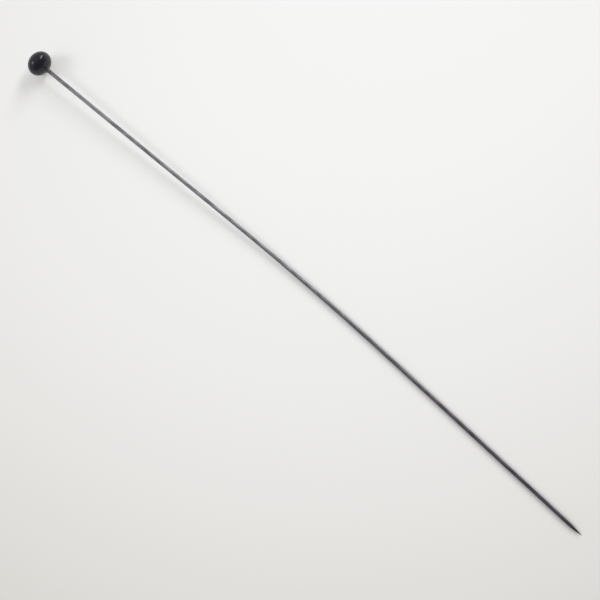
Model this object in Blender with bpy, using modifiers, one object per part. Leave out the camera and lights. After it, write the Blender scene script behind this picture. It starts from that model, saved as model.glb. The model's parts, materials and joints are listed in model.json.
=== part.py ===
"""Hat pin with a black glass head.

A bead of black glass, a bowed steel wire ground to a point, and the cement that holds one on the other.
Metres. The pin lies on the plane z = 0 as it would on a table: the head at -X, the point at +X, and the
bow of the wire toward +Y. The origin is under the middle of the pin, on that plane.
"""

import math

import bmesh
import bpy
from mathutils import Vector

MM = 0.001

# Overall, from the crown of the head to the point, along X.
OVERALL_LENGTH = 178.0 * MM

# Glass head, an oblate bead turned about the wire's axis.
HEAD_RADIUS = 3.10 * MM
HEAD_HALF_LENGTH = 2.36 * MM
CROWN_FLAT_RADIUS = 0.60 * MM
MOUTH_RADIUS = 0.95 * MM
BORE_RADIUS = 0.69 * MM
BORE_DEPTH = 3.10 * MM
COUNTERSINK_DEPTH = 0.20 * MM

# Steel wire.
WIRE_RADIUS = 0.475 * MM
POINT_LENGTH = 5.4 * MM
POINT_END_RADIUS = 0.03 * MM
WIRE_IN_BORE = 2.90 * MM

# One long bend, measured along X from the middle of the head. Before and after it the wire is straight.
BEND_START = 50.8 * MM
BEND_END = 122.1 * MM
SIDE_SLOPE_AT_HEAD = 0.0302

# Cement between the wire and the bore, and its meniscus outside the mouth.
CEMENT_CLEARANCE = 0.02 * MM
MENISCUS_RISE = 1.00 * MM
MENISCUS_EDGE = 0.03 * MM

# Resolution.
HEAD_STEPS = 48
HEAD_ARC_POINTS = 26
CEMENT_STEPS = 32
MENISCUS_POINTS = 8
WIRE_POINT_SPACING = 3.0 * MM
WIRE_TAPER_POINTS = 12
WIRE_BEVEL_RESOLUTION = 4
MERGE_DISTANCE = 0.001 * MM

# Placement worked out from the sizes above.
BEND_LENGTH = BEND_END - BEND_START
BEND_MIDDLE = (BEND_START + BEND_END) / 2
CROWN_HEIGHT = HEAD_HALF_LENGTH * math.sqrt(1 - (CROWN_FLAT_RADIUS / HEAD_RADIUS) ** 2)
MOUTH_HEIGHT = HEAD_HALF_LENGTH * math.sqrt(1 - (MOUTH_RADIUS / HEAD_RADIUS) ** 2)
DROP_SLOPE = (HEAD_RADIUS - WIRE_RADIUS) / BEND_MIDDLE
HEAD_TILT = math.hypot(SIDE_SLOPE_AT_HEAD, DROP_SLOPE)
CROWN_REACH = CROWN_HEIGHT * math.cos(HEAD_TILT) + CROWN_FLAT_RADIUS * math.sin(HEAD_TILT)
HEAD_X = -OVERALL_LENGTH / 2 + CROWN_REACH
TIP_X = OVERALL_LENGTH / 2
SIDE_TURN = SIDE_SLOPE_AT_HEAD * (TIP_X - HEAD_X) / (TIP_X - HEAD_X - BEND_MIDDLE)


def new_collection(name):
    """Makes a collection in the scene."""
    collection = bpy.data.collections.new(name)
    bpy.context.scene.collection.children.link(collection)
    return collection


def make_material(name, colour, roughness, metallic):
    """A Principled BSDF with a plain colour, roughness and metallic value."""
    material = bpy.data.materials.new(name)
    material.use_nodes = True
    shader = material.node_tree.nodes["Principled BSDF"]
    shader.inputs["Base Color"].default_value = (*colour, 1.0)
    shader.inputs["Roughness"].default_value = roughness
    shader.inputs["Metallic"].default_value = metallic
    material.diffuse_color = (*colour, 1.0)
    return material


def turned(name, outline, steps, material, collection):
    """A solid turned about its Z axis from (radius, height) points that run down the outer side."""
    mesh = bpy.data.meshes.new(name)
    profile = bmesh.new()
    points = [profile.verts.new((radius, 0.0, height)) for radius, height in outline]
    for upper, lower in zip(points, points[1:]):
        profile.edges.new((upper, lower))
    profile.to_mesh(mesh)
    profile.free()
    mesh.materials.append(material)
    solid = bpy.data.objects.new(name, mesh)
    collection.objects.link(solid)
    screw = solid.modifiers.new("Turn", "SCREW")
    screw.steps = steps
    screw.render_steps = steps
    screw.use_merge_vertices = True
    screw.merge_threshold = MERGE_DISTANCE
    screw.use_smooth_shade = True
    return solid


def bend_run(x):
    """How far the turned heading has carried the wire at x, as a share of the bend's length.

    The heading eases from its value before the bend to its value after it, and this is its integral.
    """
    share = (x - HEAD_X - BEND_START) / BEND_LENGTH
    if share <= 0:
        return 0.0
    if share >= 1:
        return share - 0.5
    return share**3 - share**4 / 2


def wire_centre(x):
    """The wire's centre at x: straight down from the head, through the bend, then along the table."""
    past_head = x - HEAD_X
    turned_run = BEND_LENGTH * bend_run(x)
    side = SIDE_SLOPE_AT_HEAD * past_head - SIDE_TURN * turned_run
    height = HEAD_RADIUS - DROP_SLOPE * past_head + DROP_SLOPE * turned_run
    return Vector((x, side, height))


def point_taper(from_tip):
    """The wire's radius as a share of its full radius: a ground point with a rounded, ogive flank."""
    if from_tip >= POINT_LENGTH:
        return 1.0
    grown = 1 - (1 - from_tip / POINT_LENGTH) ** 2
    end = POINT_END_RADIUS / WIRE_RADIUS
    return end + (1 - end) * grown


def head_axis():
    """An empty at the middle of the head whose +Z runs out of the crown, along the wire's axis."""
    axis = bpy.data.objects.new("head_axis", None)
    axis.empty_display_size = HEAD_RADIUS
    axis.location = wire_centre(HEAD_X)
    outward = Vector((-1.0, -SIDE_SLOPE_AT_HEAD, DROP_SLOPE))
    axis.rotation_euler = outward.to_track_quat("Z", "Y").to_euler()
    return axis


def glass_head(collection):
    """The bead: a small crown flat, an oblate side, and a countersunk blind bore for the wire."""
    black_glass = make_material("black_glass", (0.012, 0.011, 0.014), 0.12, 0.0)
    crown_angle = math.asin(CROWN_FLAT_RADIUS / HEAD_RADIUS)
    mouth_angle = math.pi - math.asin(MOUTH_RADIUS / HEAD_RADIUS)
    outline = [(0.0, CROWN_HEIGHT)]
    for i in range(HEAD_ARC_POINTS + 1):
        angle = crown_angle + (mouth_angle - crown_angle) * i / HEAD_ARC_POINTS
        outline.append((HEAD_RADIUS * math.sin(angle), HEAD_HALF_LENGTH * math.cos(angle)))
    bore_end = BORE_DEPTH - MOUTH_HEIGHT
    outline.append((BORE_RADIUS, COUNTERSINK_DEPTH - MOUTH_HEIGHT))
    outline.append((BORE_RADIUS, bore_end))
    outline.append((0.0, bore_end))
    return turned("glass_head", outline, HEAD_STEPS, black_glass, collection)


def setting_cement(collection):
    """The cement: a cup round the wire's buried end, flaring in the countersink to a meniscus."""
    shellac = make_material("shellac_cement", (0.16, 0.07, 0.05), 0.45, 0.0)
    outer = BORE_RADIUS - CEMENT_CLEARANCE
    inner = WIRE_RADIUS + CEMENT_CLEARANCE
    closed_end = BORE_DEPTH - MOUTH_HEIGHT - CEMENT_CLEARANCE
    wire_end = WIRE_IN_BORE - MOUTH_HEIGHT + CEMENT_CLEARANCE
    countersink_top = COUNTERSINK_DEPTH - MOUTH_HEIGHT
    rim = MOUTH_RADIUS - CEMENT_CLEARANCE
    outline = [(0.0, closed_end), (outer, closed_end), (outer, countersink_top)]
    outline.append((rim, -MOUTH_HEIGHT - CEMENT_CLEARANCE))
    feather = inner + MENISCUS_EDGE
    for i in range(1, MENISCUS_POINTS + 1):
        quarter = math.pi / 2 * i / MENISCUS_POINTS
        radius = rim - (rim - feather) * math.sin(quarter)
        height = -MOUTH_HEIGHT - CEMENT_CLEARANCE - MENISCUS_RISE * (1 - math.cos(quarter))
        outline.append((radius, height))
    outline.append((inner, outline[-1][1]))
    outline.append((inner, wire_end))
    outline.append((0.0, wire_end))
    return turned("setting_cement", outline, CEMENT_STEPS, shellac, collection)


def steel_shank(collection):
    """The wire: cut square inside the head, bowed once, and ground to a point."""
    steel = make_material("drawn_steel", (0.18, 0.18, 0.19), 0.38, 1.0)
    buried_end = HEAD_X + (MOUTH_HEIGHT - WIRE_IN_BORE) * math.cos(HEAD_TILT)
    taper_start = TIP_X - POINT_LENGTH
    spans = math.ceil((taper_start - buried_end) / WIRE_POINT_SPACING)
    stations = [buried_end + (taper_start - buried_end) * i / spans for i in range(spans)]
    stations += [taper_start + POINT_LENGTH * i / WIRE_TAPER_POINTS for i in range(WIRE_TAPER_POINTS + 1)]
    curve = bpy.data.curves.new("steel_shank", "CURVE")
    curve.dimensions = "3D"
    curve.bevel_depth = WIRE_RADIUS
    curve.bevel_resolution = WIRE_BEVEL_RESOLUTION
    curve.use_fill_caps = True
    spline = curve.splines.new("POLY")
    spline.points.add(len(stations) - 1)
    spline.use_smooth = True
    for point, x in zip(spline.points, stations):
        point.co = (*wire_centre(x), 1.0)
        point.radius = point_taper(TIP_X - x)
    curve.materials.append(steel)
    wire = bpy.data.objects.new("steel_shank", curve)
    collection.objects.link(wire)
    return wire


def build():
    """Clears the scene and makes the pin."""
    for leftover in list(bpy.data.objects):
        bpy.data.objects.remove(leftover)
    pin = new_collection("hat_pin")
    axis = head_axis()
    pin.objects.link(axis)
    for turned_piece in (glass_head(pin), setting_cement(pin)):
        turned_piece.parent = axis
    steel_shank(pin)


build()
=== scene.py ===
"""Looks for the hat pin: black glass head, shellac cement and aged steel wire, lying on a pale floor.

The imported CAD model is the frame. The head and the cement are turned again, finer, about the axis that the
head_crown mount gives. The wire is swept again, finer, along the same line, from that axis to the CAD wire's
end. Metres, in the row's own frame: head at -X, point at +X, the bow of the wire toward +Y.
"""

import json
import math

import bmesh
import bpy
import numpy as np
from mathutils import Matrix, Vector, noise


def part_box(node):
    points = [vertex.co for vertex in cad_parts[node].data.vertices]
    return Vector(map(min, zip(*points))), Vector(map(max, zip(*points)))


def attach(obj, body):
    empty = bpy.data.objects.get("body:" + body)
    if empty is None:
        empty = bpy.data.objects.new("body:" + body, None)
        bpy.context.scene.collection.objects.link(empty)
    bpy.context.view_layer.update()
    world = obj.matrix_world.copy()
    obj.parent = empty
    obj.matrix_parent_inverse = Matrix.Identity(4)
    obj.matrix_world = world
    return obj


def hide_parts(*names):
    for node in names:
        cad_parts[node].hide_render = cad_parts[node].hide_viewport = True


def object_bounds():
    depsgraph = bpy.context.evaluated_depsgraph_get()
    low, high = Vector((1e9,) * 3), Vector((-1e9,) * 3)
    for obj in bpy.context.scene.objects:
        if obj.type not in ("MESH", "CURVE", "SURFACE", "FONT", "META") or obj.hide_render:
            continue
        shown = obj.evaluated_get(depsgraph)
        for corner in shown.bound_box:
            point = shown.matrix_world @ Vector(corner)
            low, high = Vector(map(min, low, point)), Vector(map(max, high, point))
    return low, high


MM = 0.001
OWN_PLACE = "own_place"

# Sizes of the glass, the cement and the wire, as the CAD parts have them.
HEAD_RADIUS = 3.10 * MM
HEAD_HALF_LENGTH = 2.36 * MM
CROWN_FLAT_RADIUS = 0.60 * MM
MOUTH_RADIUS = 0.95 * MM
BORE_RADIUS = 0.69 * MM
BORE_DEPTH = 3.10 * MM
COUNTERSINK_DEPTH = 0.20 * MM
WIRE_RADIUS = 0.475 * MM
WIRE_IN_BORE = 2.90 * MM
CEMENT_CLEARANCE = 0.02 * MM
MENISCUS_RISE = 1.00 * MM
POINT_LENGTH = 5.4 * MM
POINT_END_RADIUS = 0.03 * MM
BEND_START = 50.8 * MM
BEND_END = 122.1 * MM

# The glass: softened corners, slow unevenness, winding ripples, and pits, whose ranges are in millimetres.
CROWN_EASING = 0.03 * MM
CORNER_ROUNDING = 0.06 * MM
UNEVEN_DEPTH = 0.018 * MM
UNEVEN_SPACING = 2.6 * MM
WINDING_PITCH = 0.55 * MM
WINDING_DEPTH = 0.0022 * MM
PIT_COUNT = 16
PIT_SEED = 7
PIT_DEPTHS = (0.006, 0.020)
PIT_WIDTHS = (0.05, 0.13)

# The cement: the film on the glass, how far its edges bite into the glass and the steel, and the meniscus.
FILM_THICKNESS = 0.024 * MM
FILM_BITE = 0.006 * MM
FILM_SLOPE_WIDTH = 0.10 * MM
FILM_WIDE_SIDE = math.radians(70)
WIRE_BITE = 0.012 * MM
FEATHER_THICKNESS = 0.003 * MM
MENISCUS_STEPS = 16
MENISCUS_FULLNESS = 0.9
RISE_MEAN = 1.12
RISE_WANDER = 0.22

# The steel: die lines, pits that are denser near the head, grinding strokes, and the rounded cut end.
DIE_LINE_DEPTH = 0.0020 * MM
DIE_LINE_LENGTH = 40 * MM
STEEL_PIT_DEPTH = 0.045 * MM
STEEL_PIT_SPACING = 0.32 * MM
PITTED_REACH = 22 * MM
GRINDING_DEPTH = 0.0030 * MM
GRINDING_SPACING = 0.16 * MM
CUT_END_ROUNDING = 0.12 * MM
LEAST_RADIUS_SHARE = 0.6

# How fine the new meshes are.
HEAD_SEGMENTS = 160
HEAD_ARC_RINGS = 120
CEMENT_SEGMENTS = 72
WIRE_SEGMENTS = 28
WIRE_RING_SPACING = 0.16 * MM
POINT_RINGS = 90
SHARP_ANGLE = math.radians(40)
CORNER_ANGLE = math.radians(12)

# Camera, straight above the pin and close to it.
CAMERA_HEIGHT = 0.180
CAMERA_TURN = math.radians(41.05)
FRAME_WIDTH = 0.14808
SENSOR_WIDTH = 36.0
AIM = Vector((-0.00138, -0.00178, 0.0))

# The floor's own glow, painted light that keeps its shadows weak, and its outward fade, painted shade: the
# brightest place, the radiance there, and the loss for each square metre of squared distance from that place,
# which stops growing at the reach.
FLOOR_HALF_WIDTH = 1.5
FLOOR_GLOW_MIDDLE = (-0.029, 0.045, 0.0)
FLOOR_GLOW_REACH = 0.17
FLOOR_GLOW_EASING = 0.012
FLOOR_GLOW = (0.351, 0.350, 0.341)
FLOOR_GLOW_PAINTED_SHADE = (7.35, 7.85, 9.2)

# A painted contact shadow: beside the shank, where half of the sky or more is hidden, only this share of the
# glow is left.
# That sets in between the first X and the second, and is full from there to the point.
CONTACT_REACH = 1.8 * MM
CONTACT_SHADOW_GLOW_LEFT = 0.25
CONTACT_FROM_TO = (-0.045, 0.030)

# Lights: name, direction from the origin, long and short side, direction of the long side, radiance.
LIGHT_DISTANCE = 1.0
LIGHTS = (
    ("window", (-0.07, 0.86, 0.59), 0.68, 0.22, (0.45, -0.22, 0.46), 9.5),
    ("second_window", (-0.60, -0.58, 0.72), 0.38, 0.34, (1.0, 0.0, 0.0), 4.8),
)

# The room: its strength eases from the first value to the second as the direction turns toward DIM_SIDE.
ROOM_COLOUR = (0.985, 0.985, 1.03, 1.0)
DIM_SIDE = (0.94, -0.05, 0.34)
DIM_FROM_TO = (0.15, 0.62)
ROOM_STRENGTHS = (0.50, 0.07)

# Colour of the thickest, darkest cement, which also stains the steel beside it.
DARK_CEMENT = (0.085, 0.062, 0.074)


# ---------------------------------------------------------------- meshes


def closed_skin(name, rings, start, end, own_place=None, matrix=None):
    """A closed mesh from rings of points, with one middle point closing each end.

    Each point keeps its own_place, which the materials read; without one, that is where it was made.
    """
    count, segments = rings.shape[:2]
    points = [start, *rings.reshape(-1, 3), end]
    last = len(points) - 1
    faces = []
    for j in range(segments):
        beside = (j + 1) % segments
        faces.append((0, 1 + beside, 1 + j))
        for i in range(count - 1):
            here, below = 1 + i * segments, 1 + (i + 1) * segments
            faces.append((here + j, here + beside, below + beside, below + j))
        tail = 1 + (count - 1) * segments
        faces.append((last, tail + j, tail + beside))
    mesh = bpy.data.meshes.new(name)
    mesh.from_pydata([tuple(map(float, p)) for p in points], [], faces)
    shell = bmesh.new()
    shell.from_mesh(mesh)
    bmesh.ops.recalc_face_normals(shell, faces=shell.faces)
    shell.to_mesh(mesh)
    shell.free()
    places = points if own_place is None else own_place
    kept = mesh.attributes.new(OWN_PLACE, "FLOAT_VECTOR", "POINT")
    kept.data.foreach_set("vector", np.array(places, np.float32).ravel())
    if matrix is not None:
        mesh.transform(matrix)
    mesh.shade_smooth()
    mesh.set_sharp_from_angle(angle=SHARP_ANGLE)
    piece = bpy.data.objects.new(name, mesh)
    bpy.context.scene.collection.objects.link(piece)
    return piece


def rounded(points, reach, steps=4):
    """The outline with each sharp corner replaced by a short curve.

    The curve starts and ends reach away from the corner, or nearer where the sides are short.
    """
    out = [points[0]]
    for before, corner, after in zip(points, points[1:], points[2:]):
        into, away = corner - before, after - corner
        if into.angle(away) < CORNER_ANGLE:
            out.append(corner)
            continue
        start = corner - into.normalized() * min(reach, into.length * 0.45)
        end = corner + away.normalized() * min(reach, away.length * 0.45)
        for k in range(steps + 1):
            t = k / steps
            out.append(start * (1 - t) ** 2 + corner * 2 * t * (1 - t) + end * t**2)
    return out + [points[-1]]


def head_matrix(record):
    """The head's place: origin at the middle of the glass, +Z out of the crown, +Y nearly up."""
    crown = next(m for m in record["mounts"] if m["name"] == "head_crown")
    outward = Vector(crown["axis"]).normalized()
    middle = Vector(crown["pos_m"]) - outward * crown_height()
    return Matrix.Translation(middle) @ outward.to_track_quat("Z", "Y").to_matrix().to_4x4()


def crown_height():
    """How far above the middle of the head its small crown flat is."""
    return HEAD_HALF_LENGTH * math.sqrt(1 - (CROWN_FLAT_RADIUS / HEAD_RADIUS) ** 2)


def mouth_height():
    """How far below the middle of the head the mouth of its bore is."""
    return HEAD_HALF_LENGTH * math.sqrt(1 - (MOUTH_RADIUS / HEAD_RADIUS) ** 2)


def soft_minimum(a, b, blend):
    """The lower of two values, with the corner between them eased over blend."""
    share = max(blend - abs(a - b), 0.0) / blend
    return min(a, b) - share * share * blend / 4


def head_outline():
    """(radius, height) down the outside of the head, into the mouth and up the bore, as 2-D vectors."""
    mouth_angle = math.pi - math.asin(MOUTH_RADIUS / HEAD_RADIUS)
    outline = []
    for i in range(1, HEAD_ARC_RINGS + 1):
        angle = mouth_angle * i / HEAD_ARC_RINGS
        height = soft_minimum(HEAD_HALF_LENGTH * math.cos(angle), crown_height(), CROWN_EASING)
        outline.append(Vector((HEAD_RADIUS * math.sin(angle), height)))
    mouth = mouth_height()
    bore_end = BORE_DEPTH - mouth
    outline.append(Vector((BORE_RADIUS, COUNTERSINK_DEPTH - mouth)))
    outline += [Vector((BORE_RADIUS, bore_end * k / 5)) for k in range(-3, 6)]
    outline.append(Vector((0.02 * MM, bore_end)))
    return rounded(outline, CORNER_ROUNDING)


def pits():
    """Unit directions, depths and widths of small pits and burst bubbles in the glass."""
    rng = np.random.default_rng(PIT_SEED)
    found = []
    for _ in range(PIT_COUNT):
        direction = Vector(rng.normal(size=3)).normalized()
        found.append((direction, rng.uniform(*PIT_DEPTHS) * MM, rng.uniform(*PIT_WIDTHS) * MM))
    return found


def glass_sink(point, dents):
    """How far the glass surface lies inside its turned shape at a point in the head's frame."""
    bent = UNEVEN_DEPTH * (0.5 + 0.5 * noise.noise(point / UNEVEN_SPACING))
    wound = math.atan2(point.y, point.x) / (2 * math.pi) + point.z / WINDING_PITCH
    ripple = WINDING_DEPTH * (0.5 + 0.5 * math.sin(2 * math.pi * wound))
    sunk = bent + ripple
    for direction, depth, width in dents:
        away = (point - direction * point.length).length
        if point.dot(direction) > 0 and away < 3 * width:
            sunk += depth * math.exp(-((away / width) ** 2))
    return sunk


def glass_bead(place, material, dents):
    """The head: wound black glass, not quite even, with a few pits, a soft crown flat and an open bore.

    The bore's wall and the middle of the crown flat stay even.
    """
    outline = head_outline()
    rings = np.zeros((len(outline), HEAD_SEGMENTS, 3))
    outside = HEAD_ARC_RINGS + 2
    for i, (radius, height) in enumerate(outline):
        for j in range(HEAD_SEGMENTS):
            turn = 2 * math.pi * j / HEAD_SEGMENTS
            point = Vector((radius * math.cos(turn), radius * math.sin(turn), height))
            if i < outside and radius > MOUTH_RADIUS * 0.5:
                point -= point.normalized() * glass_sink(point, dents)
            rings[i, j] = point
    crown = (0.0, 0.0, outline[0].y)
    bore_end = (0.0, 0.0, outline[-1].y)
    bead = closed_skin("glass_bead", rings, crown, bore_end, matrix=place)
    bead.data.materials.append(material)
    return bead


def film_edge(turn):
    """The radius that the squeezed-out cement reaches on the glass, wider on one side."""
    wander = noise.noise(Vector((math.cos(turn), math.sin(turn), 0.3)) * 1.7)
    fine = noise.noise(Vector((math.cos(turn), math.sin(turn), 4.1)) * 5.0)
    wide_side = 0.5 + 0.5 * math.cos(turn - FILM_WIDE_SIDE)
    millimetres = 1.02 + 0.09 * wide_side + 0.07 * wander + 0.025 * fine
    return millimetres * MM


def on_glass(radius, turn, above, dents):
    """(radius, height) at one angle on the wire's side of the glass, or a little above its real surface."""
    height = -HEAD_HALF_LENGTH * math.sqrt(1 - (radius / HEAD_RADIUS) ** 2)
    point = Vector((radius * math.cos(turn), radius * math.sin(turn), height))
    out = 1 + (above - glass_sink(point, dents)) / point.length
    return (radius * out, height * out)


def film_points(turn, dents):
    """(radius, height) from the film's edge, inside the glass, up to where the meniscus starts."""
    edge = film_edge(turn)
    return [
        on_glass(edge, turn, -FILM_BITE, dents),
        on_glass(edge + 0.1 * FILM_THICKNESS, turn, 0.35 * FILM_THICKNESS, dents),
        on_glass(edge - 0.6 * FILM_THICKNESS, turn, 0.85 * FILM_THICKNESS, dents),
        on_glass(edge - FILM_SLOPE_WIDTH, turn, 1.25 * FILM_THICKNESS, dents),
    ]


def meniscus_points(turn, start):
    """(radius, height) from the film's top up the wire, until the cement ends just inside the steel."""
    wander = noise.noise(Vector((math.cos(turn), math.sin(turn), 9.0)) * 1.3)
    rise = MENISCUS_RISE * (RISE_MEAN + RISE_WANDER * wander)
    feather = WIRE_RADIUS - WIRE_BITE
    start_radius, start_height = start
    points = []
    for i in range(1, MENISCUS_STEPS + 1):
        quarter = math.pi / 2 * i / MENISCUS_STEPS
        radius = start_radius - (start_radius - feather) * math.sin(quarter) ** MENISCUS_FULLNESS
        points.append((radius, start_height - rise * (1 - math.cos(quarter))))
    return points


def cement_outline(turn, dents):
    """(radius, height) along the cement at one angle: cup, film on the glass, meniscus, wire side."""
    mouth = mouth_height()
    outer = BORE_RADIUS - CEMENT_CLEARANCE
    inner = WIRE_RADIUS + CEMENT_CLEARANCE
    closed_end = BORE_DEPTH - mouth - CEMENT_CLEARANCE
    wire_end = WIRE_IN_BORE - mouth + CEMENT_CLEARANCE
    rim = MOUTH_RADIUS - CEMENT_CLEARANCE
    points = [(0.3 * outer, closed_end), (outer, closed_end), (outer, (closed_end - mouth) / 2)]
    points += [(outer, COUNTERSINK_DEPTH - mouth), (rim, -mouth)]
    points += film_points(turn, dents)
    points += meniscus_points(turn, points[-1])
    last = points[-1][1]
    contact = WIRE_RADIUS - WIRE_BITE - FEATHER_THICKNESS
    points += [(contact, last), (contact, -mouth), (inner, COUNTERSINK_DEPTH - mouth)]
    points += [(inner, wire_end * 0.5), (inner, wire_end)]
    points.append((0.3 * inner, wire_end))
    return points


def cement_collar(place, material, dents):
    """The cement: a cup in the bore, a thin film that crept over the glass, and a meniscus up the wire."""
    turns = [2 * math.pi * j / CEMENT_SEGMENTS for j in range(CEMENT_SEGMENTS)]
    outlines = [cement_outline(turn, dents) for turn in turns]
    rings = np.zeros((len(outlines[0]), CEMENT_SEGMENTS, 3))
    for j, (turn, outline) in enumerate(zip(turns, outlines)):
        for i, (radius, height) in enumerate(outline):
            rings[i, j] = (radius * math.cos(turn), radius * math.sin(turn), height)
    start = (0.0, 0.0, outlines[0][0][1])
    end = (0.0, 0.0, outlines[0][-1][1])
    collar = closed_skin("cement_collar", rings, start, end, matrix=place)
    collar.data.materials.append(material)
    return collar


class WireLine:
    """The wire's middle line: straight out of the head, once bent, then straight along the floor.

    The way it leaves the head is the head_crown mount's axis; it ends where the CAD wire ends.
    """

    def __init__(self, head, tip_x):
        outward = head.to_3x3() @ Vector((0.0, 0.0, 1.0))
        self.head = head.to_translation()
        self.side_slope = outward.y / outward.x
        self.drop_slope = -outward.z / outward.x
        run = tip_x - self.head.x
        self.side_turn = self.side_slope * run / (run - (BEND_START + BEND_END) / 2)

    def points(self, x):
        """The line's points at an array of x values."""
        past_head = x - self.head.x
        share = np.clip((past_head - BEND_START) / (BEND_END - BEND_START), 0, None)
        eased = np.where(share < 1, share**3 - share**4 / 2, share - 0.5)
        turned = (BEND_END - BEND_START) * eased
        side = self.side_slope * past_head - self.side_turn * turned
        height = self.head.z - self.drop_slope * (past_head - turned)
        return np.stack([x, side, height], axis=1)


def wire_sink(along, turn, from_tip):
    """How far the steel's surface lies inside its round section: die lines, pits, point grinding."""
    round_x, round_y = math.cos(turn), math.sin(turn)
    line = noise.noise(Vector((round_x * 6, round_y * 6, along / DIE_LINE_LENGTH)))
    grain = noise.noise(Vector((along / STEEL_PIT_SPACING, round_x * 1.5, round_y * 1.5)))
    near_head = 1 / (1 + (along / PITTED_REACH) ** 2)
    pitted = max(0.0, grain - 0.42 + 0.20 * near_head)
    sunk = DIE_LINE_DEPTH * (0.5 + 0.5 * line) + STEEL_PIT_DEPTH * pitted
    if from_tip < POINT_LENGTH:
        stroke = noise.noise(Vector((from_tip / GRINDING_SPACING, round_x, round_y)))
        sunk += GRINDING_DEPTH * (0.5 + 0.5 * stroke)
    return sunk


def wire_stations(first, last):
    """X of each ring of the wire: evenly spaced along the shank, closer together in the ground point."""
    shank = np.arange(first, last - POINT_LENGTH, WIRE_RING_SPACING)
    ground = last - POINT_LENGTH * np.linspace(1, 0, POINT_RINGS)
    return np.concatenate([shank, ground])


def wire_radii(x, first, last):
    """The wire's radius at each station: a rounded cut end, the full wire, and an ogive point."""
    to_tip = np.clip((last - x) / POINT_LENGTH, 0, 1)
    radii = POINT_END_RADIUS + (WIRE_RADIUS - POINT_END_RADIUS) * (1 - (1 - to_tip) ** 2)
    from_end = x - first
    near_end = from_end < CUT_END_ROUNDING
    into_end = 1 - from_end[near_end] / CUT_END_ROUNDING
    radii[near_end] -= CUT_END_ROUNDING * (1 - np.sqrt(1 - into_end**2))
    return radii


def pin_wire(place, material):
    """The shank: swept along its line, with a rounded cut end in the cement and a ground point."""
    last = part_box("steel_shank")[1].x
    first = (place @ Vector((0.0, 0.0, WIRE_IN_BORE - mouth_height()))).x
    x = wire_stations(first, last)
    centres = WireLine(place, last).points(x)
    radii = wire_radii(x, first, last)
    from_end = x - first
    tangents = np.gradient(centres, axis=0)
    tangents /= np.linalg.norm(tangents, axis=1)[:, None]
    side = np.cross((0.0, 0.0, 1.0), tangents)
    side /= np.linalg.norm(side, axis=1)[:, None]
    up = np.cross(tangents, side)
    rings = np.zeros((len(x), WIRE_SEGMENTS, 3))
    unrolled = np.zeros_like(rings)
    for i in range(len(x)):
        for j in range(WIRE_SEGMENTS):
            turn = 2 * math.pi * j / WIRE_SEGMENTS
            sunk = wire_sink(from_end[i], turn, last - x[i])
            radius = max(radii[i] - sunk, radii[i] * LEAST_RADIUS_SHARE)
            rings[i, j] = centres[i] + radius * (math.cos(turn) * side[i] + math.sin(turn) * up[i])
            unrolled[i, j] = (from_end[i], radii[i] * math.cos(turn), radii[i] * math.sin(turn))
    tip = centres[-1] + tangents[-1] * radii[-1] * 0.5
    straightened = [(0.0, 0.0, 0.0), *unrolled.reshape(-1, 3), (from_end[-1], 0.0, 0.0)]
    wire = closed_skin("pin_wire", rings, centres[0], tip, own_place=straightened)
    wire.data.materials.append(material)
    return wire


# ---------------------------------------------------------------- materials


class Look:
    """A node material while it is being made."""

    def __init__(self, name):
        self.material = bpy.data.materials.new(name)
        self.material.use_nodes = True
        self.tree = self.material.node_tree
        self.shader = self.tree.nodes["Principled BSDF"]

    def set(self, **sockets):
        """Sets the shader's sockets, to a value or from another node's output."""
        for name, value in sockets.items():
            self._feed(self.shader.inputs[name.replace("_", " ")], value)

    def add(self, kind, sockets=(), output=0, **settings):
        """Adds a node and returns one of its outputs."""
        node = self.tree.nodes.new("ShaderNode" + kind)
        for name, value in settings.items():
            setattr(node, name, value)
        for name, value in dict(sockets).items():
            self._feed(node.inputs[name], value)
        return node.outputs[output]

    def _feed(self, socket, value):
        if isinstance(value, bpy.types.NodeSocket):
            self.tree.links.new(value, socket)
        else:
            socket.default_value = value

    def millimetres(self):
        """The place that each point of the piece keeps, in millimetres."""
        own = self.add("Attribute", output="Vector", attribute_name=OWN_PLACE)
        return self.add("VectorMath", {0: own, "Scale": 1 / MM}, operation="SCALE")

    def stretched(self, vector, factors):
        """A vector multiplied part by part."""
        return self.add("VectorMath", {0: vector, 1: factors}, operation="MULTIPLY")

    def noise(self, vector, scale, detail=2.0, roughness=0.5):
        """Noise from 0 to 1, with scale in cells for each millimetre."""
        sockets = {"Vector": vector, "Scale": scale, "Detail": detail, "Roughness": roughness}
        return self.add("TexNoise", sockets)

    def remap(self, value, low, high, to_low=0.0, to_high=1.0):
        """Stretches low..high to to_low..to_high, with soft ends."""
        sockets = {"Value": value, "From Min": low, "From Max": high, "To Min": to_low, "To Max": to_high}
        return self.add("MapRange", sockets, interpolation_type="SMOOTHSTEP")

    def mix(self, share, first, second):
        """A colour between two colours."""
        node = self.tree.nodes.new("ShaderNodeMix")
        node.data_type = "RGBA"
        self._feed(node.inputs["Factor"], share)
        colours = [s for s in node.inputs if s.name in "AB" and s.type == "RGBA"]
        for socket, colour in zip(colours, (first, second)):
            self._feed(socket, colour if isinstance(colour, bpy.types.NodeSocket) else (*colour, 1.0))
        return next(s for s in node.outputs if s.type == "RGBA")

    def maths(self, operation, a, b):
        """One sum on two values."""
        return self.add("Math", {0: a, 1: b}, operation=operation)

    def bump(self, height, distance, over=None):
        """A bump normal, on top of another one if given."""
        sockets = {"Height": height, "Distance": distance, "Strength": 1.0}
        if over is not None:
            sockets["Normal"] = over
        return self.add("Bump", sockets)


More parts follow.
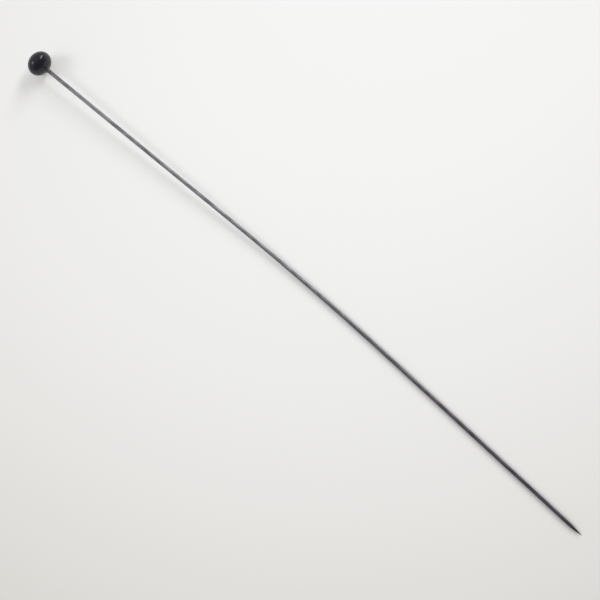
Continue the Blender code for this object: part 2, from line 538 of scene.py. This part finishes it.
def black_glass():
    """Old black glass: deep colour, soft haze from handling, fine scratches and a little dust.

    Its specular level is below that of clean glass, which keeps its rim dark on a pale floor.
    """
    look = Look("black_glass")
    place = look.millimetres()
    depth = look.noise(place, 0.35, 3.0)
    colour = look.mix(depth, (0.0255, 0.0242, 0.0350), (0.0340, 0.0322, 0.0440))
    haze = look.remap(look.noise(place, 0.6, 4.0, 0.6), 0.35, 0.75)
    specks = look.add("TexVoronoi", {"Vector": place, "Scale": 2.6}, output="Distance")
    dust = look.remap(specks, 0.02, 0.06, 1.0, 0.0)
    sparse = look.remap(look.noise(place, 1.1, 1.0), 0.56, 0.62)
    dust = look.maths("MULTIPLY", dust, sparse)
    colour = look.mix(dust, colour, (0.16, 0.15, 0.14))
    roughness = look.maths("ADD", look.remap(haze, 0.0, 1.0, 0.16, 0.26), look.maths("MULTIPLY", dust, 0.4))
    scratches = look.noise(look.stretched(place, (9.0, 0.5, 2.0)), 1.0, 5.0, 0.7)
    normal = look.bump(scratches, 0.0015 * MM)
    normal = look.bump(look.noise(place, 2.2, 2.0), 0.006 * MM, over=normal)
    look.set(Base_Color=colour, Roughness=roughness, Normal=normal)
    look.set(IOR=1.52, Specular_IOR_Level=0.26, Metallic=0.0)
    return look.material


def shellac_cement():
    """Old reddish-brown shellac: darker where it is thin over the black glass, dull where it has crazed."""
    look = Look("shellac_cement")
    place = look.millimetres()
    tone = look.remap(look.noise(place, 2.2, 4.0, 0.6), 0.3, 0.7)
    colour = look.mix(tone, DARK_CEMENT, (0.160, 0.120, 0.132))
    across = look.stretched(place, (1.0, 1.0, 0.0))
    from_axis = look.add("VectorMath", {0: across}, output="Value", operation="LENGTH")
    thin = look.remap(from_axis, 0.62, 0.98, 1.0, 0.45)
    colour = look.add("VectorMath", {0: colour, "Scale": thin}, operation="SCALE")
    crazed = look.noise(place, 7.0, 4.0, 0.7)
    roughness = look.remap(crazed, 0.3, 0.7, 0.30, 0.62)
    look.set(Base_Color=colour, Roughness=roughness)
    look.set(Normal=look.bump(crazed, 0.010 * MM), IOR=1.50, Metallic=0.0)
    return look.material


def aged_steel():
    """Drawn steel wire gone grey: long die lines, darker oxide, and a bloom of brown near the head.

    Its colour is darkened from 50 to 150 mm along, a painted shade for the dimmer reflections toward the
    point, and it is stained where the cement ends.
    """
    look = Look("aged_steel")
    place = look.millimetres()
    lines = look.noise(look.stretched(place, (0.05, 7.0, 7.0)), 1.0, 4.0, 0.65)
    patches = look.noise(look.stretched(place, (0.35, 1.6, 1.6)), 1.0, 5.0, 0.65)
    grey = look.mix(look.remap(patches, 0.35, 0.70), (0.326, 0.320, 0.337), (0.148, 0.145, 0.157))
    grey = look.mix(look.remap(lines, 0.35, 0.80, 0.0, 0.55), grey, (0.356, 0.350, 0.371))
    distance = look.add("SeparateXYZ", {0: place}, output="X")
    # Painted shade: the steel's colour darkens toward the point, standing in for the dimmer reflections
    # there.
    painted_shade_toward_point = look.mix(look.remap(distance, 50.0, 150.0), (1.0, 1.0, 1.0), (0.645, 0.618, 0.660))
    grey = look.stretched(grey, painted_shade_toward_point)
    near_head = look.remap(distance, 2.5, 6.0, 1.0, 0.0)
    blotches = look.remap(look.noise(place, 2.4, 5.0, 0.7), 0.50, 0.66)
    rust = look.maths("MULTIPLY", blotches, look.maths("ADD", look.maths("MULTIPLY", near_head, 0.7), 0.10))
    uneven_distance = look.maths("ADD", distance, look.maths("MULTIPLY", blotches, 0.25))
    stain = look.remap(uneven_distance, 3.9, 4.9, 0.85, 0.0)
    colour = look.mix(rust, grey, (0.150, 0.085, 0.060))
    colour = look.mix(stain, colour, DARK_CEMENT)
    dull = look.remap(patches, 0.30, 0.75, 0.50, 0.64)
    roughness = look.maths("ADD", dull, look.maths("MULTIPLY", rust, 0.30))
    metal = look.maths("SUBTRACT", 1.0, look.maths("MAXIMUM", look.maths("MULTIPLY", rust, 0.75), stain))
    normal = look.bump(lines, 0.004 * MM)
    normal = look.bump(look.noise(place, 9.0, 4.0, 0.7), 0.003 * MM, over=normal)
    look.set(Base_Color=colour, Roughness=roughness, Metallic=metal, Normal=normal)
    return look.material


def pale_floor_look():
    """A smooth, nearly white table whose own glow is painted light, fading outward as painted shade and
    dimmed beside the shank as a painted contact shadow.
    """
    look = Look("pale_floor")
    place = look.add("TexCoord", output="Object")
    away = look.add("VectorMath", {0: place, 1: FLOOR_GLOW_MIDDLE}, operation="SUBTRACT")
    squared = look.add("VectorMath", {0: away, 1: away}, output="Value", operation="DOT_PRODUCT")
    limits = {0: squared, 1: FLOOR_GLOW_REACH**2, 2: FLOOR_GLOW_EASING}
    spread = look.add("Math", limits, operation="SMOOTH_MIN")
    # Painted shade: the glow falls off with squared distance from its brightest place.
    glow = look.add("VectorMath", {0: FLOOR_GLOW_PAINTED_SHADE, "Scale": spread}, operation="SCALE")
    glow = look.add("VectorMath", {0: FLOOR_GLOW, 1: glow}, operation="SUBTRACT")
    # Painted contact shadow: the glow is dimmed where ambient occlusion finds the shank close by, only toward
    # the point.
    open_sky = look.add("AmbientOcclusion", {"Distance": CONTACT_REACH}, output="AO", samples=24)
    contact = look.remap(open_sky, 0.5, 1.0, 1.0 - CONTACT_SHADOW_GLOW_LEFT, 0.0)
    toward_point = look.add("SeparateXYZ", {0: place}, output="X")
    contact = look.maths("MULTIPLY", contact, look.remap(toward_point, *CONTACT_FROM_TO))
    glow = look.add("VectorMath", {0: glow, "Scale": look.maths("SUBTRACT", 1.0, contact)}, operation="SCALE")
    mottle = look.noise(place, 9.0, 2.0)
    colour = look.mix(mottle, (0.790, 0.790, 0.780), (0.810, 0.810, 0.802))
    look.set(Base_Color=colour, Roughness=0.6)
    look.set(Emission_Color=glow, Emission_Strength=1.0, IOR=1.35)
    return look.material


# ---------------------------------------------------------------- stage


def floor_under(lowest):
    """A wide pale floor that the pin lies on."""
    half = FLOOR_HALF_WIDTH
    mesh = bpy.data.meshes.new("floor")
    corners = [(-half, -half, 0.0), (half, -half, 0.0), (half, half, 0.0), (-half, half, 0.0)]
    mesh.from_pydata(corners, [], [(0, 1, 2, 3)])
    floor = bpy.data.objects.new("floor", mesh)
    floor.location.z = lowest
    mesh.materials.append(pale_floor_look())
    bpy.context.scene.collection.objects.link(floor)
    return floor


def area_light(name, toward, long_side, short_side, long_axis, radiance):
    """A soft rectangular light in a given direction from the origin, facing it."""
    light = bpy.data.lights.new(name, "AREA")
    light.shape = "RECTANGLE"
    light.size = long_side
    light.size_y = short_side
    light.energy = radiance * math.pi * long_side * short_side
    lamp = bpy.data.objects.new(name, light)
    back = Vector(toward).normalized()
    across = Vector(long_axis)
    across = (across - back * across.dot(back)).normalized()
    other = back.cross(across)
    turned = Matrix((across, other, back)).transposed().to_4x4()
    lamp.matrix_world = Matrix.Translation(back * LIGHT_DISTANCE) @ turned
    bpy.context.scene.collection.objects.link(lamp)


def studio_world():
    """A soft room: brightest on the head's side, dimmer overhead, and dimmest on the point's side."""
    world = bpy.data.worlds.new("studio")
    world.use_nodes = True
    nodes, links = world.node_tree.nodes, world.node_tree.links
    background = nodes["Background"]
    coordinate = nodes.new("ShaderNodeTexCoord")
    along = nodes.new("ShaderNodeVectorMath")
    along.operation = "DOT_PRODUCT"
    along.inputs[1].default_value = DIM_SIDE
    ease = nodes.new("ShaderNodeMapRange")
    ease.interpolation_type = "SMOOTHSTEP"
    for socket, value in zip(("From Min", "From Max", "To Min", "To Max"), DIM_FROM_TO + ROOM_STRENGTHS):
        ease.inputs[socket].default_value = value
    links.new(coordinate.outputs["Generated"], along.inputs[0])
    links.new(along.outputs["Value"], ease.inputs["Value"])
    links.new(ease.outputs["Result"], background.inputs["Strength"])
    background.inputs["Color"].default_value = ROOM_COLOUR
    bpy.context.scene.world = world


def overhead_camera():
    """The camera, looking straight down, turned so that the pin runs from upper left to lower right."""
    data = bpy.data.cameras.new("camera")
    data.sensor_width = SENSOR_WIDTH
    data.lens = SENSOR_WIDTH * CAMERA_HEIGHT / FRAME_WIDTH
    data.clip_start = 0.005
    camera = bpy.data.objects.new("camera", data)
    camera.location = AIM + Vector((0.0, 0.0, CAMERA_HEIGHT))
    camera.rotation_euler = (0.0, 0.0, CAMERA_TURN)
    bpy.context.scene.collection.objects.link(camera)
    bpy.context.scene.camera = camera


# ---------------------------------------------------------------- the pin

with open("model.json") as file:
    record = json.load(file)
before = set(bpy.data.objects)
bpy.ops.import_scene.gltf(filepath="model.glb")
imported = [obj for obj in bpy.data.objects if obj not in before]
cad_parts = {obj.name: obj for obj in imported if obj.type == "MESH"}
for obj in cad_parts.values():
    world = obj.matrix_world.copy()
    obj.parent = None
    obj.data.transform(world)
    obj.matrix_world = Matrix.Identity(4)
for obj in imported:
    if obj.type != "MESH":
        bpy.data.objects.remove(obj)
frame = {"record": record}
cad_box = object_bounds()
bpy.context.scene.view_settings.view_transform = "Standard"

overhead_camera()
studio_world()
for light in LIGHTS:
    area_light(*light)

place = head_matrix(frame["record"])
dents = pits()
bead = glass_bead(place, black_glass(), dents)
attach(bead, "root")
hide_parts("glass_head")

collar = cement_collar(place, shellac_cement(), dents)
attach(collar, "root")
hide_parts("setting_cement")

wire = pin_wire(place, aged_steel())
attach(wire, "root")
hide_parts("steel_shank")

floor_under(cad_box[0].z)
